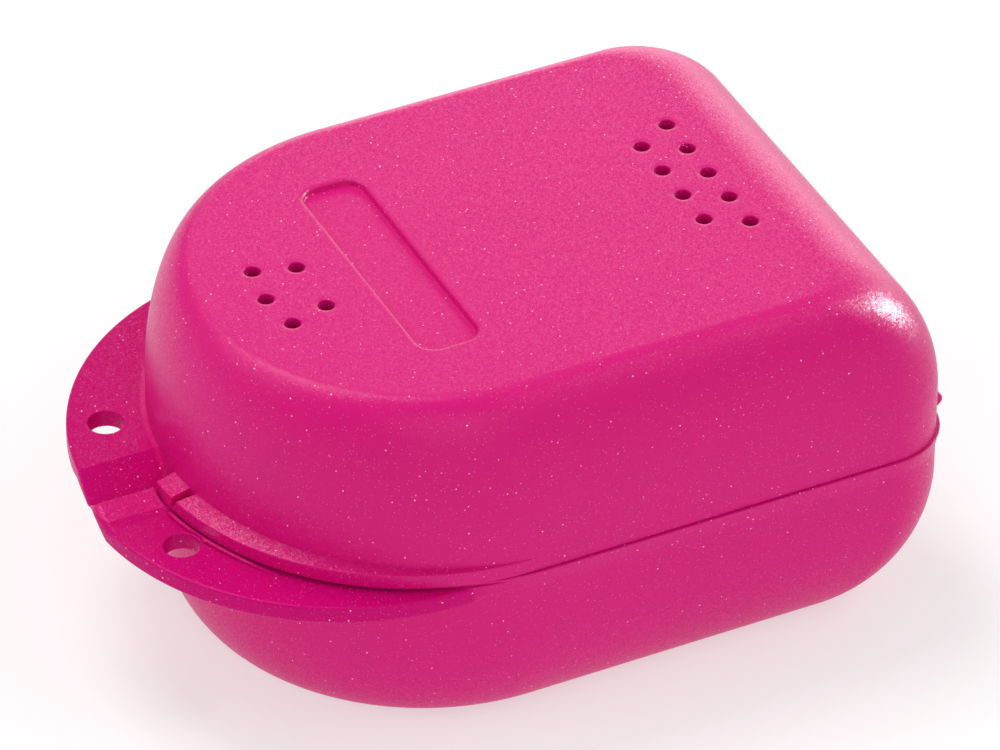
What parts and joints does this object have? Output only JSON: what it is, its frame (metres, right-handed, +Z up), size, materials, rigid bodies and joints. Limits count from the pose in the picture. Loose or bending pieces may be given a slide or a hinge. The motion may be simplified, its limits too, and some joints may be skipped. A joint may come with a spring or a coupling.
{
  "type": "orthodontic retainer case",
  "caption": "Hinged plastic case of two domed half-round shells for a dental retainer, with a split front flange, cord holes, ventilation holes and a bare label recess.",
  "frame": {"origin": "middle of the case's bounding box, on the flat underside that it rests on", "axes": "+Y from the flange at the front to the hinge at the back, +X to the right seen from the front, +Z up through the lid"},
  "size_m": [0.0706, 0.1048, 0.048],
  "materials": {
    "shell_plastic": "satin magenta polypropylene with a very fine grain and scattered white glitter flecks"
  },
  "bodies": {
    "base": {"lower_shell": "shell_plastic"},
    "lid": {"upper_shell": "shell_plastic"}
  },
  "joints": [
    {"name": "lid_hinge", "type": "hinge", "parent": "base", "child": "lid", "pos_m": [0, 0.05092, 0.024], "axis": [-1, 0, 0], "range_deg": [0, 180]}
  ]
}
